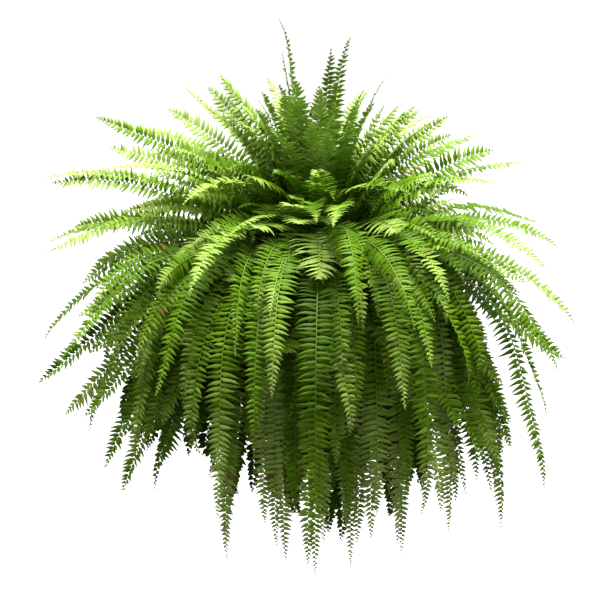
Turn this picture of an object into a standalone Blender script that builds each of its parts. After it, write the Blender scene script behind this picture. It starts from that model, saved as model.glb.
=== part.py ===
"""Sword fern in a hanging pot: pot, saucer, hanger, soil, crown, fronds and runners.

The origin is the point where the hook bears on its bracket. +Z is up and -Y is the front.
"""

import math

import bmesh
import bpy
from mathutils import Matrix, Vector

# Clearances, metres.
TOUCH_GAP = 0.0004

# Hanger: a moulded hook with a hub, and three rods from the hub to the pot's rim.
HOOK_ROD_RADIUS = 0.003
CROOK_INNER_RADIUS = 0.011
CROOK_TIP_ANGLE = 205.0
CROOK_ROOT_ANGLE = -48.0
SHANK_TOP_Z = -0.040
SHANK_BEND_REACH = 0.010
SHANK_BEND_RISE = 0.008
HUB_TOP_Z = -0.058
HUB_THICKNESS = 0.006
HUB_RADIUS = 0.0165
HUB_EDGE = 0.0015
BOSS_RADIUS = 0.0055
BOSS_HEIGHT = 0.003
BOSS_TAPER = 0.001
ARM_RADIUS = 0.0021
ARM_HEAD_RADIUS = 0.0036
ARM_HEAD_HEIGHT = 0.004
ARM_TOP_CIRCLE = 0.0105
ARM_STRAIGHT_TOP = 0.003
ARM_BEND_TOP = 0.005
ARM_BEND_OUT = 0.0015
ARM_STRAIGHT_LOW = 0.008
ARM_BEND_LOW = 0.008
ARM_BEND_IN = 0.003
ARM_AZIMUTHS = (255.0, 15.0, 135.0)
ARM_HOLE_RADIUS = 0.0028

# Pot: a turned, tapered plastic shell with a flat rim flange and a snap bead at its foot.
RIM_Z = -0.325
POT_HEIGHT = 0.185
POT_FLOOR_Z = RIM_Z - POT_HEIGHT
POT_WALL = 0.002
POT_FLOOR = 0.0025
POT_TOP_RADIUS = 0.137
RIM_RADIUS = 0.150
RIM_SKIRT = 0.011
FOOT_RADIUS = 0.103
FOOT_BEAD_HEIGHT = 0.005
FOOT_GROOVE = 0.0025
FOOT_EDGE = 0.001
RIM_EDGE = 0.0008
HOLE_OVERCUT = 0.002
RIM_HOLE_CIRCLE = 0.1435
DRAIN_HOLE_RADIUS = 0.005
DRAIN_HOLE_CIRCLE = 0.068
DRAIN_HOLES = 6
TURN_STEPS = 48

# Saucer: a shallow dish whose slotted collar snaps over the pot's foot bead.
SAUCER_FLOOR = 0.002
SAUCER_WALL = 0.0018
SAUCER_FOOT_RADIUS = 0.112
SAUCER_TOP_RADIUS = 0.127
SAUCER_HEIGHT = 0.026
COLLAR_WALL = 0.0015
COLLAR_LIP = 0.0012
COLLAR_HEIGHT = 0.0075
COLLAR_SLOTS = 4
COLLAR_SLOT_WIDTH = 0.016
COLLAR_SLOT_DEPTH = 0.008
COLLAR_SLOT_LOW = 0.0005
COLLAR_SLOT_HIGH = 0.0205

# Filling.
SOIL_BELOW_RIM = 0.018
SOIL_WALL_GAP = 0.0009
SOIL_FOOT_EDGE = 0.003
CROWN_RADIUS = 0.112
CROWN_HEIGHT = 0.011
CROWN_SHOULDER = 0.005
CROWN_TOP_Z = RIM_Z - SOIL_BELOW_RIM + CROWN_HEIGHT

# Fronds: each tier is a ring of fronds that arches over the tier below it. base is the radius
# on the crown that they grow from, turn is the share of the length over which they bend, and
# stipe is the share of the length that is bare stalk. Each frond's row holds its azimuth, its
# length, its lean from straight up at the base and at the tip, and the blade's roll at the tip.
FROND_STEPS = 16
STIPE_HALF = 0.0021
RACHIS_HALF = 0.0016
RACHIS_TAPER = 0.6
BLADE_CHANNEL = 0.16
BLADE_RISE = 0.2
BLADE_RISE_POWER = 0.7
BLADE_FALL = 2.6
BLADE_FALL_POWER = 0.9
SWAY = 5.0
TIERS = (
    ("frond_top", dict(base=0.024, turn=1.0, width=0.062, stipe=0.26), (
        (207.0, 0.51, 2.0, 9.0, 0.0),
        (294.0, 0.49, 2.5, 20.0, 10.0),
        (341.0, 0.41, 6.0, 24.0, 10.0),
        (112.0, 0.47, 12.0, 46.0, 0.0),
        (164.0, 0.46, 17.0, 52.0, -10.0),
        (72.0, 0.42, 8.0, 34.0, 0.0),
        (44.0, 0.44, 20.0, 62.0, 10.0),
    )),
    ("frond_upper", dict(base=0.046, turn=1.0, width=0.078, stipe=0.20), (
        (-4.0, 0.45, 30.0, 84.0, 30.0),
        (36.0, 0.49, 30.0, 78.0, 20.0),
        (66.0, 0.50, 30.0, 88.0, 0.0),
        (104.0, 0.51, 30.0, 90.0, 0.0),
        (150.0, 0.55, 28.0, 84.0, -20.0),
        (178.0, 0.56, 40.0, 96.0, -30.0),
        (206.0, 0.50, 30.0, 92.0, -20.0),
        (229.0, 0.46, 20.0, 108.0, -10.0),
        (276.0, 0.30, 22.0, 100.0, 0.0),
        (318.0, 0.46, 27.0, 96.0, 20.0),
    )),
    ("frond_middle", dict(base=0.066, turn=1.0, width=0.086, stipe=0.15), (
        (-10.0, 0.45, 46.0, 112.0, 35.0),
        (26.0, 0.50, 46.0, 112.0, 20.0),
        (60.0, 0.50, 46.0, 118.0, 0.0),
        (96.0, 0.51, 46.0, 120.0, 0.0),
        (146.0, 0.52, 44.0, 112.0, -20.0),
        (176.0, 0.50, 54.0, 108.0, -35.0),
        (200.0, 0.52, 48.0, 116.0, -30.0),
        (238.0, 0.48, 42.0, 134.0, -10.0),
        (273.0, 0.35, 40.0, 130.0, 0.0),
        (300.0, 0.45, 42.0, 138.0, 5.0),
        (328.0, 0.50, 44.0, 124.0, 20.0),
    )),
    ("frond_lower", dict(base=0.086, turn=0.9, width=0.090, stipe=0.12), (
        (-2.0, 0.48, 60.0, 134.0, 30.0),
        (36.0, 0.52, 58.0, 136.0, 10.0),
        (84.0, 0.56, 58.0, 142.0, 0.0),
        (144.0, 0.54, 58.0, 136.0, -10.0),
        (181.0, 0.53, 64.0, 138.0, -30.0),
        (210.0, 0.55, 60.0, 140.0, -20.0),
        (236.0, 0.56, 56.0, 158.0, -10.0),
        (258.0, 0.54, 54.0, 160.0, 0.0),
        (290.0, 0.56, 54.0, 166.0, 0.0),
        (322.0, 0.56, 58.0, 146.0, 15.0),
    )),
    ("frond_skirt", dict(base=0.103, turn=0.7, width=0.092, stipe=0.10), (
        (4.0, 0.53, 70.0, 156.0, 20.0),
        (38.0, 0.54, 70.0, 160.0, 0.0),
        (72.0, 0.58, 70.0, 168.0, 0.0),
        (108.0, 0.58, 70.0, 168.0, 0.0),
        (146.0, 0.54, 70.0, 160.0, 0.0),
        (186.0, 0.54, 70.0, 160.0, -20.0),
        (218.0, 0.58, 70.0, 166.0, -10.0),
        (244.0, 0.68, 66.0, 176.0, 0.0),
        (270.0, 0.80, 68.0, 179.0, 0.0),
        (296.0, 0.68, 66.0, 177.0, 0.0),
        (330.0, 0.66, 70.0, 164.0, 10.0),
    )),
    ("old_frond", dict(base=0.104, turn=0.42, width=0.050, stipe=0.30), (
        (257.0, 0.44, 68.0, 179.0, 30.0),
    )),
    ("runner", dict(base=0.107, turn=0.5, width=0.0, stipe=1.0), (
        (312.0, 0.62, 68.0, 176.0, 0.0),
        (350.0, 0.52, 68.0, 160.0, 0.0),
    )),
)

# Finishes: linear red, green and blue, and roughness.
HANGER_FINISH = ((0.02, 0.022, 0.02), 0.45)
POT_FINISH = ((0.03, 0.05, 0.03), 0.5)
SOIL_FINISH = ((0.035, 0.022, 0.014), 0.95)
CROWN_FINISH = ((0.08, 0.045, 0.02), 0.9)
FROND_FINISH = ((0.13, 0.30, 0.035), 0.5)


def clear_scene():
    """Removes whatever objects the file starts with."""
    for existing in list(bpy.data.objects):
        bpy.data.objects.remove(existing, do_unlink=True)


def finish(name, look):
    """A plain finish for one part, from its colour and its roughness."""
    colour, roughness = look
    material = bpy.data.materials.new(name)
    material.use_nodes = True
    shader = material.node_tree.nodes["Principled BSDF"]
    shader.inputs["Base Color"].default_value = (*colour, 1.0)
    shader.inputs["Roughness"].default_value = roughness
    return material


def add_object(name, data, look):
    """Adds a named part with its own finish to the scene."""
    part = bpy.data.objects.new(name, data)
    part.data.materials.append(finish(name + "_finish", look))
    bpy.context.scene.collection.objects.link(part)
    return part


def mesh_from(bm, name, smooth_angle=math.radians(40.0)):
    """Turns a bmesh into a mesh that shades round where it is round."""
    bmesh.ops.recalc_face_normals(bm, faces=bm.faces)
    mesh = bpy.data.meshes.new(name)
    bm.to_mesh(mesh)
    bm.free()
    mesh.shade_smooth()
    mesh.set_sharp_from_angle(angle=smooth_angle)
    return mesh


def turned(profile, steps=TURN_STEPS):
    """Spins a closed (radius, z) outline about the Z axis."""
    bm = bmesh.new()
    verts = [bm.verts.new((radius, 0.0, z)) for radius, z in profile]
    edges = [bm.edges.new((a, b)) for a, b in zip(verts, verts[1:] + verts[:1])]
    bmesh.ops.spin(
        bm,
        geom=verts + edges,
        cent=(0.0, 0.0, 0.0),
        axis=(0.0, 0.0, 1.0),
        angle=math.tau,
        steps=steps,
        use_merge=True,
    )
    bmesh.ops.remove_doubles(bm, verts=bm.verts, dist=0.00001)
    return bm


def swept(rings):
    """Extrudes the first ring through all the others and closes both ends."""
    bm = bmesh.new()
    face = bm.faces.new([bm.verts.new(point) for point in rings[0]])
    for ring in rings[1:]:
        face = bmesh.ops.extrude_discrete_faces(bm, faces=[face])["faces"][0]
        for vert, point in zip(face.verts, ring):
            vert.co = point
    bmesh.ops.holes_fill(bm, edges=bm.edges, sides=0)
    return bm


def rod(name, points, radius, factors):
    """A round rod along a list of points, thicker where its factor is over one."""
    curve = bpy.data.curves.new(name, "CURVE")
    curve.dimensions = "3D"
    curve.bevel_depth = radius
    curve.bevel_resolution = 2
    curve.use_fill_caps = True
    spline = curve.splines.new("POLY")
    spline.points.add(len(points) - 1)
    for index, point in enumerate(points):
        spline.points[index].co = (*point, 1.0)
        spline.points[index].radius = factors[index]
    return curve


def round_rings(points, radius, sides):
    """Round cross-sections along a line of points in the XZ plane."""
    rings = []
    side = Vector((0.0, 1.0, 0.0))
    for index, point in enumerate(points):
        before = points[max(0, index - 1)]
        after = points[min(len(points) - 1, index + 1)]
        up = (after - before).normalized().cross(side)
        angles = [math.tau * number / sides for number in range(sides)]
        rings.append([point + (side * math.cos(a) + up * math.sin(a)) * radius for a in angles])
    return rings


def cutter(name, bm):
    """A hidden tool that a Boolean cuts with."""
    mesh = bpy.data.meshes.new(name)
    bm.to_mesh(mesh)
    bm.free()
    tool = bpy.data.objects.new(name, mesh)
    tool.hide_render = True
    tool.display_type = "WIRE"
    bpy.context.scene.collection.objects.link(tool)
    return tool


def apply_boolean(part, tool, operation="DIFFERENCE"):
    """Adds an exact Boolean of the tool to the part."""
    modifier = part.modifiers.new(tool.name, "BOOLEAN")
    modifier.operation = operation
    modifier.solver = "EXACT"
    modifier.object = tool


def around(azimuth, radius, z):
    """The point at an azimuth in degrees, a radius and a height."""
    angle = math.radians(azimuth)
    return Vector((radius * math.cos(angle), radius * math.sin(angle), z))


def ring_of_pins(azimuths, circle, radius, low, high, segments=12):
    """Upright pins on a circle, to cut holes with."""
    bm = bmesh.new()
    for azimuth in azimuths:
        place = Matrix.Translation(around(azimuth, circle, (low + high) / 2))
        bmesh.ops.create_cone(
            bm,
            cap_ends=True,
            segments=segments,
            radius1=radius,
            radius2=radius,
            depth=high - low,
            matrix=place,
        )
    return bm


def make_hook():
    """The crook, its shank and the hub that the three rods hang from."""
    middle = CROOK_INNER_RADIUS + HOOK_ROD_RADIUS
    centre_z = -CROOK_INNER_RADIUS
    crook = []
    crook_steps = 26
    for step in range(crook_steps + 1):
        share = step / crook_steps
        angle = math.radians(CROOK_TIP_ANGLE + (CROOK_ROOT_ANGLE - CROOK_TIP_ANGLE) * share)
        crook.append(Vector((middle * math.cos(angle), 0.0, centre_z + middle * math.sin(angle))))
    root = crook[-1]
    heading = (crook[-1] - crook[-2]).normalized()
    shank = Vector((0.0, 0.0, SHANK_TOP_Z))
    bend_steps = 6
    for step in range(1, bend_steps + 1):
        share = step / bend_steps
        start = root + heading * SHANK_BEND_REACH * share
        end = shank + Vector((0.0, 0.0, SHANK_BEND_RISE)) * (1.0 - share)
        crook.append(start.lerp(end, share * share * (3.0 - 2.0 * share)))
    crook.append(Vector((0.0, 0.0, HUB_TOP_Z - HUB_THICKNESS / 2)))
    mesh = mesh_from(swept(round_rings(crook, HOOK_ROD_RADIUS, 12)), "hanger_hook")
    hook = add_object("hanger_hook", mesh, HANGER_FINISH)
    low = HUB_TOP_Z - HUB_THICKNESS
    profile = [
        (0.0, HUB_TOP_Z + BOSS_HEIGHT),
        (BOSS_RADIUS - BOSS_TAPER, HUB_TOP_Z + BOSS_HEIGHT),
        (BOSS_RADIUS, HUB_TOP_Z),
        (HUB_RADIUS - HUB_EDGE, HUB_TOP_Z),
        (HUB_RADIUS, HUB_TOP_Z - HUB_EDGE),
        (HUB_RADIUS, low + HUB_EDGE),
        (HUB_RADIUS - HUB_EDGE, low),
        (0.0, low),
    ]
    hub = turned(profile, steps=24)
    bmesh.ops.recalc_face_normals(hub, faces=hub.faces)
    apply_boolean(hook, cutter("hub_blank", hub), "UNION")
    pin_low = low - HOLE_OVERCUT
    pin_high = HUB_TOP_Z + HOLE_OVERCUT
    holes = ring_of_pins(ARM_AZIMUTHS, ARM_TOP_CIRCLE, ARM_HOLE_RADIUS, pin_low, pin_high)
    apply_boolean(hook, cutter("hub_holes", holes))
    return hook


def make_arm(index, azimuth):
    """One rod of the hanger, with a head above the hub and a button under the rim."""
    head = ARM_HEAD_RADIUS / ARM_RADIUS
    cap = head * 0.7
    brow = ARM_HEAD_HEIGHT * 0.6
    step = 0.0001
    top = HUB_TOP_Z + TOUCH_GAP
    hub_low = HUB_TOP_Z - HUB_THICKNESS - ARM_STRAIGHT_TOP
    rim_high = RIM_Z + ARM_STRAIGHT_LOW
    under = RIM_Z - POT_WALL - TOUCH_GAP
    stations = (
        (ARM_TOP_CIRCLE, top + ARM_HEAD_HEIGHT, cap),
        (ARM_TOP_CIRCLE, top + brow, head),
        (ARM_TOP_CIRCLE, top, head),
        (ARM_TOP_CIRCLE, top - step, 1.0),
        (ARM_TOP_CIRCLE, hub_low, 1.0),
        (ARM_TOP_CIRCLE + ARM_BEND_OUT, hub_low - ARM_BEND_TOP, 1.0),
        (RIM_HOLE_CIRCLE - ARM_BEND_IN, rim_high + ARM_BEND_LOW, 1.0),
        (RIM_HOLE_CIRCLE, rim_high, 1.0),
        (RIM_HOLE_CIRCLE, under + step, 1.0),
        (RIM_HOLE_CIRCLE, under, head),
        (RIM_HOLE_CIRCLE, under - brow, head),
        (RIM_HOLE_CIRCLE, under - ARM_HEAD_HEIGHT, cap),
    )
    points = [around(azimuth, radius, z) for radius, z, factor in stations]
    curve = rod(f"hanger_arm_{index}", points, ARM_RADIUS, [s[2] for s in stations])
    return add_object(curve.name, curve, HANGER_FINISH)


def pot_radius(z):
    """The outer radius of the pot's wall at a height."""
    low = POT_FLOOR_Z + FOOT_BEAD_HEIGHT
    share = (z - low) / (RIM_Z - POT_WALL - low)
    foot = FOOT_RADIUS - FOOT_GROOVE
    return foot + (POT_TOP_RADIUS + POT_WALL - foot) * share


def make_pot():
    """The pot, with holes for the hanger in its rim and drain holes in its floor."""
    bead_top = POT_FLOOR_Z + FOOT_BEAD_HEIGHT
    inner_floor = POT_FLOOR_Z + POT_FLOOR
    profile = [
        (0.0, POT_FLOOR_Z),
        (FOOT_RADIUS - FOOT_EDGE, POT_FLOOR_Z),
        (FOOT_RADIUS, POT_FLOOR_Z + FOOT_EDGE),
        (FOOT_RADIUS, bead_top - FOOT_EDGE),
        (FOOT_RADIUS - FOOT_GROOVE, bead_top),
        (pot_radius(RIM_Z - POT_WALL), RIM_Z - POT_WALL),
        (RIM_RADIUS - POT_WALL, RIM_Z - POT_WALL),
        (RIM_RADIUS - POT_WALL, RIM_Z - RIM_SKIRT),
        (RIM_RADIUS, RIM_Z - RIM_SKIRT),
        (RIM_RADIUS, RIM_Z - RIM_EDGE),
        (RIM_RADIUS - RIM_EDGE, RIM_Z),
        (POT_TOP_RADIUS, RIM_Z),
        (FOOT_RADIUS - FOOT_GROOVE - POT_WALL, inner_floor),
        (0.0, inner_floor),
    ]
    pot = add_object("hanging_pot", mesh_from(turned(profile), "hanging_pot"), POT_FINISH)
    low = RIM_Z - POT_WALL - HOLE_OVERCUT
    high = RIM_Z + HOLE_OVERCUT
    rim_holes = ring_of_pins(ARM_AZIMUTHS, RIM_HOLE_CIRCLE, ARM_HOLE_RADIUS, low, high)
    apply_boolean(pot, cutter("rim_holes", rim_holes))
    azimuths = [360.0 * index / DRAIN_HOLES for index in range(DRAIN_HOLES)]
    low = POT_FLOOR_Z - HOLE_OVERCUT
    high = inner_floor + HOLE_OVERCUT
    drains = ring_of_pins(azimuths, DRAIN_HOLE_CIRCLE, DRAIN_HOLE_RADIUS, low, high)
    apply_boolean(pot, cutter("drain_holes", drains))
    return pot


def make_saucer():
    """The dish under the pot, with its slotted snap collar."""
    inside = POT_FLOOR_Z - TOUCH_GAP
    under = inside - SAUCER_FLOOR
    collar = FOOT_RADIUS + TOUCH_GAP
    lip_low = POT_FLOOR_Z + FOOT_BEAD_HEIGHT + TOUCH_GAP
    collar_top = POT_FLOOR_Z + COLLAR_HEIGHT
    profile = [
        (0.0, under),
        (SAUCER_FOOT_RADIUS - FOOT_EDGE, under),
        (SAUCER_FOOT_RADIUS, under + FOOT_EDGE),
        (SAUCER_TOP_RADIUS, under + SAUCER_HEIGHT),
        (SAUCER_TOP_RADIUS - SAUCER_WALL, under + SAUCER_HEIGHT),
        (SAUCER_FOOT_RADIUS - SAUCER_WALL, inside),
        (collar + COLLAR_WALL, inside),
        (collar + COLLAR_WALL, collar_top),
        (collar - COLLAR_LIP, collar_top),
        (collar - COLLAR_LIP, lip_low),
        (collar, lip_low),
        (collar, inside),
        (0.0, inside),
    ]
    saucer = add_object("drip_saucer", mesh_from(turned(profile), "drip_saucer"), POT_FINISH)
    bm = bmesh.new()
    middle = inside + (COLLAR_SLOT_LOW + COLLAR_SLOT_HIGH) / 2
    height = COLLAR_SLOT_HIGH - COLLAR_SLOT_LOW
    size = Matrix.Diagonal((COLLAR_SLOT_DEPTH, COLLAR_SLOT_WIDTH, height, 1.0))
    for index in range(COLLAR_SLOTS):
        azimuth = 360.0 * (index + 0.5) / COLLAR_SLOTS
        place = Matrix.Translation(around(azimuth, collar, middle))
        turn = Matrix.Rotation(math.radians(azimuth), 4, "Z")
        bmesh.ops.create_cube(bm, size=1.0, matrix=place @ turn @ size)
    apply_boolean(saucer, cutter("collar_slots", bm))
    return saucer


def make_soil():
    """The potting mix and root ball that fill the pot."""
    low = POT_FLOOR_Z + POT_FLOOR + TOUCH_GAP
    high = RIM_Z - SOIL_BELOW_RIM
    foot_z = low + SOIL_FOOT_EDGE
    inner = [pot_radius(z) - POT_WALL - SOIL_WALL_GAP for z in (foot_z, high)]
    profile = [
        (0.0, low),
        (inner[0] - SOIL_FOOT_EDGE, low),
        (inner[0], foot_z),
        (inner[1], high),
        (0.0, high),
    ]
    mesh = mesh_from(turned(profile), "potting_mix")
    return add_object("potting_mix", mesh, SOIL_FINISH)


def make_crown():
    """The scaly rhizome mat that every frond grows from."""
    low = RIM_Z - SOIL_BELOW_RIM + TOUCH_GAP
    brow = CROWN_SHOULDER * 0.3
    profile = [
        (0.0, low),
        (CROWN_RADIUS, low),
        (CROWN_RADIUS, CROWN_TOP_Z - CROWN_SHOULDER),
        (CROWN_RADIUS - brow, CROWN_TOP_Z - brow),
        (CROWN_RADIUS - CROWN_SHOULDER, CROWN_TOP_Z),
        (0.0, CROWN_TOP_Z),
    ]
    mesh = mesh_from(turned(profile, steps=36), "fern_crown")
    return add_object("fern_crown", mesh, CROWN_FINISH)


def frond_plan():
    """Every frond's own settings, with its tier's."""
    plan = []
    for tier, shared, rows in TIERS:
        for index, (azimuth, length, lean, droop, roll) in enumerate(rows):
            frond = dict(shared, azimuth=azimuth, length=length, lean=lean, droop=droop, roll=roll)
            frond["name"] = f"{tier}_{index + 1:02d}"
            frond["sway"] = SWAY if index % 2 else -SWAY
            plan.append(frond)
    return plan


def frond_line(frond, steps):
    """Points along the frond's rachis, each with its heading and its sideways direction."""
    point = around(frond["azimuth"], frond["base"], CROWN_TOP_Z + TOUCH_GAP)
    stations = []
    for step in range(steps + 1):
        share = step / steps
        bend = min(1.0, share / frond["turn"])
        bend = bend * bend * (3.0 - 2.0 * bend)
        tilt = math.radians(frond["lean"] + (frond["droop"] - frond["lean"]) * bend)
        azimuth = math.radians(frond["azimuth"] + frond["sway"] * share)
        outward = Vector((math.cos(azimuth), math.sin(azimuth), 0.0))
        heading = outward * math.sin(tilt) + Vector((0.0, 0.0, math.cos(tilt)))
        side = Vector((-math.sin(azimuth), math.cos(azimuth), 0.0))
        side.rotate(Matrix.Rotation(math.radians(frond["roll"]) * share, 3, heading))
        if step:
            point = point + (heading + stations[-1][1]).normalized() * (frond["length"] / steps)
        stations.append((point, heading, side))
    return stations


def half_width(frond, share):
    """Half the blade's width at a share of the frond's length."""
    if share <= frond["stipe"]:
        return STIPE_HALF
    along = (share - frond["stipe"]) / (1.0 - frond["stipe"])
    rise = min(1.0, along / BLADE_RISE) ** BLADE_RISE_POWER
    fall = max(0.0, 1.0 - along**BLADE_FALL) ** BLADE_FALL_POWER
    return max(STIPE_HALF * RACHIS_TAPER, frond["width"] / 2 * rise * fall)


def make_frond(frond):
    """One frond as a thin lance-shaped blade along its arching rachis."""
    rings = []
    for step, (point, heading, side) in enumerate(frond_line(frond, FROND_STEPS)):
        share = step / FROND_STEPS
        half = half_width(frond, share)
        thick = RACHIS_HALF * (1.0 - RACHIS_TAPER * share)
        face = heading.cross(side)
        drop = face * -BLADE_CHANNEL * max(0.0, half - STIPE_HALF)
        if step == 0:
            side, face, drop = Vector((1.0, 0.0, 0.0)), Vector((0.0, 1.0, 0.0)), Vector()
            half = thick
        edges = (point + side * half + drop, point - side * half + drop)
        faces = (point + face * thick, point - face * thick)
        rings.append([edges[0], faces[0], edges[1], faces[1]])
    mesh = mesh_from(swept(rings), frond["name"])
    return add_object(frond["name"], mesh, FROND_FINISH)


def main():
    clear_scene()
    make_pot()
    make_saucer()
    make_soil()
    make_crown()
    make_hook()
    for index, azimuth in enumerate(ARM_AZIMUTHS):
        make_arm(index + 1, azimuth)
    for frond in frond_plan():
        make_frond(frond)


main()
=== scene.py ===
"""Sword fern in a hanging pot: the finished look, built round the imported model."""

import math
import random

import bmesh
import bpy
import numpy as np
from bpy.props import FloatProperty, FloatVectorProperty, PointerProperty
from mathutils import Matrix, Vector, noise


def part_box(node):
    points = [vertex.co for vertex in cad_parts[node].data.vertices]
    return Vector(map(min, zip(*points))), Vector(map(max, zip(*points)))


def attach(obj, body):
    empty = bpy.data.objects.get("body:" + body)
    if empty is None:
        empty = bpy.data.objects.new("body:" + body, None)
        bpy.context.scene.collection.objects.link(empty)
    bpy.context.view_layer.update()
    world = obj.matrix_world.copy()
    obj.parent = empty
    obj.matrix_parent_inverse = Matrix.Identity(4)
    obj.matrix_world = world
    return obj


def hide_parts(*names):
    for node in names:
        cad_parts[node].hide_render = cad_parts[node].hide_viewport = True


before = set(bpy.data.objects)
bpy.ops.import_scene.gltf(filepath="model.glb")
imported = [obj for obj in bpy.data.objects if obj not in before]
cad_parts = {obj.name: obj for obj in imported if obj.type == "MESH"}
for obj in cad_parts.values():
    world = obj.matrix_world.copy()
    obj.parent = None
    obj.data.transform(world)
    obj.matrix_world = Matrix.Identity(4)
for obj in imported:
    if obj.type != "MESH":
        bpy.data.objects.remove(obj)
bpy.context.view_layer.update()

bl_info = {
    "name": "Hanging Sword Fern",
    "version": (1, 0, 0),
    "blender": (4, 5, 0),
    "location": "View3D > Sidebar > Fern",
    "description": "Builds a sword fern in a hanging pot round its packed model",
    "category": "Add Mesh",
}

# The same layout as the model's: each tier is a ring of fronds that arches over the one below.
# base is the radius they grow from, turn the share of the length over which they bend, and
# stipe the bare share. Each row holds azimuth, length, lean from straight up at the base and
# at the tip, and the blade's roll at the tip.
TOUCH_GAP = 0.0004
SWAY = 5.0
TIERS = (
    ("frond_top", dict(base=0.024, turn=1.0, width=0.062, stipe=0.26), (
        (207, 0.51, 2, 9, 0),
        (294, 0.49, 2.5, 20, 10),
        (341, 0.41, 6, 24, 10),
        (112, 0.47, 12, 46, 0),
        (164, 0.46, 17, 52, -10),
        (72, 0.42, 8, 34, 0),
        (44, 0.44, 20, 62, 10),
    )),
    ("frond_upper", dict(base=0.046, turn=1.0, width=0.078, stipe=0.20), (
        (-4, 0.45, 30, 84, 30),
        (36, 0.49, 30, 78, 20),
        (66, 0.50, 30, 88, 0),
        (104, 0.51, 30, 90, 0),
        (150, 0.55, 28, 84, -20),
        (178, 0.56, 40, 96, -30),
        (206, 0.50, 30, 92, -20),
        (229, 0.46, 20, 108, -10),
        (276, 0.30, 22, 100, 0),
        (318, 0.46, 27, 96, 20),
    )),
    ("frond_middle", dict(base=0.066, turn=1.0, width=0.086, stipe=0.15), (
        (-10, 0.45, 46, 112, 35),
        (26, 0.50, 46, 112, 20),
        (60, 0.50, 46, 118, 0),
        (96, 0.51, 46, 120, 0),
        (146, 0.52, 44, 112, -20),
        (176, 0.50, 54, 108, -35),
        (200, 0.52, 48, 116, -30),
        (238, 0.48, 42, 134, -10),
        (273, 0.35, 40, 130, 0),
        (300, 0.45, 42, 138, 5),
        (328, 0.50, 44, 124, 20),
    )),
    ("frond_lower", dict(base=0.086, turn=0.9, width=0.090, stipe=0.12), (
        (-2, 0.48, 60, 134, 30),
        (36, 0.52, 58, 136, 10),
        (84, 0.56, 58, 142, 0),
        (144, 0.54, 58, 136, -10),
        (181, 0.53, 64, 138, -30),
        (210, 0.55, 60, 140, -20),
        (236, 0.56, 56, 158, -10),
        (258, 0.54, 54, 160, 0),
        (290, 0.56, 54, 166, 0),
        (322, 0.56, 58, 146, 15),
    )),
    ("frond_skirt", dict(base=0.103, turn=0.7, width=0.092, stipe=0.10), (
        (4, 0.53, 70, 156, 20),
        (38, 0.54, 70, 160, 0),
        (72, 0.58, 70, 168, 0),
        (108, 0.58, 70, 168, 0),
        (146, 0.54, 70, 160, 0),
        (186, 0.54, 70, 160, -20),
        (218, 0.58, 70, 166, -10),
        (244, 0.68, 66, 176, 0),
        (270, 0.80, 68, 179, 0),
        (296, 0.68, 66, 177, 0),
        (330, 0.66, 70, 164, 10),
    )),
    ("old_frond", dict(base=0.104, turn=0.42, width=0.050, stipe=0.30), (
        (257, 0.44, 68, 179, 30),
    )),
    ("runner", dict(base=0.107, turn=0.5, width=0.0, stipe=1.0), (
        (312, 0.62, 68, 176, 0),
        (350, 0.52, 68, 160, 0),
    )),
)
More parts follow.
